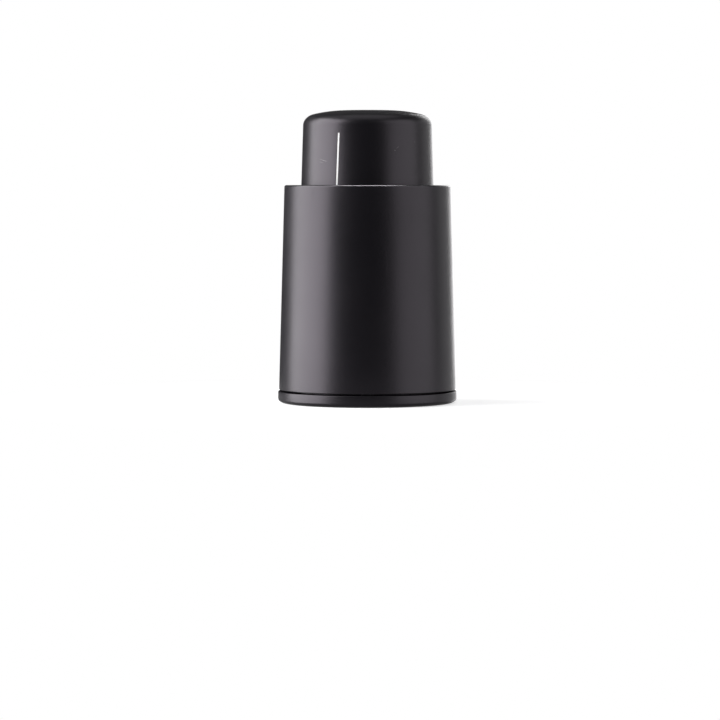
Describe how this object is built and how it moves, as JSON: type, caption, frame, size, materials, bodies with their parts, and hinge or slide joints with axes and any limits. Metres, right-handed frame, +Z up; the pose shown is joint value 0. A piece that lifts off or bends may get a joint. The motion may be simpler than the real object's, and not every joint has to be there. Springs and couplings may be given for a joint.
{
  "type": "vacuum bottle stopper",
  "caption": "Hand-pumped vacuum stopper for a bottle: drafted sleeve over the neck, domed press cap with an index line, and a spring-return piston pump with one-way valves inside.",
  "frame": {"origin": "centre of the base ring's underside, where the stopper stands on a table", "axes": "+Z up along the stopper's axis towards the press cap; -Y is the front; the index line is 26.7 degrees from the front towards -X"},
  "size_m": [0.0448, 0.0448, 0.073],
  "materials": {
    "shell_black": "fine satin texture, black ABS",
    "ring_black": "fine satin texture, black ABS",
    "cap_black": "satin black ABS, a little smoother than the sleeve",
    "index_white": "white paint fill",
    "inner_black": "plain moulded black",
    "milky_plastic": "natural acetal, slightly milky",
    "grey_silicone": "matt dark grey silicone",
    "clear_silicone": "matt natural silicone",
    "steel": "bright stainless wire and screws"
  },
  "bodies": {
    "housing": {"base_ring": "ring_black", "outer_shell": "shell_black", "inner_body": "inner_black", "neck_seal": "grey_silicone", "inlet_valve_cage": "milky_plastic", "cylinder_o_ring": "grey_silicone", "pump_cylinder": "milky_plastic", "body_screw_1": "steel", "body_screw_2": "steel", "body_screw_3": "steel", "return_spring": "steel"},
    "plunger": {"piston_rod": "inner_black", "piston_head": "milky_plastic", "piston_cup_seal": "grey_silicone", "piston_screw_washer": "steel", "piston_screw": "steel", "thrust_washer": "milky_plastic"},
    "cap": {"press_cap": "cap_black", "index_inlay": "index_white"},
    "inlet_valve": {"inlet_valve_disc": "clear_silicone"},
    "exhaust_valve": {"exhaust_flap": "clear_silicone"}
  },
  "joints": [
    {"name": "press_slide", "type": "slide", "parent": "housing", "child": "plunger", "axis": [0, 0, 1], "range_m": [-0.014, 0], "stiffness_N_per_m": 180, "springref_m": 0.02, "deforming": ["return_spring"]},
    {"name": "cap_turn", "type": "hinge", "parent": "plunger", "child": "cap", "pos_m": [0, 0, 0.069], "axis": [0, 0, 1], "continuous": true},
    {"name": "inlet_valve_lift", "type": "slide", "parent": "housing", "child": "inlet_valve", "axis": [0, 0, 1], "range_m": [0, 0.001]},
    {"name": "exhaust_flap_lift", "type": "slide", "parent": "plunger", "child": "exhaust_valve", "axis": [0, 0, 1], "range_m": [0, 0.001]}
  ]
}
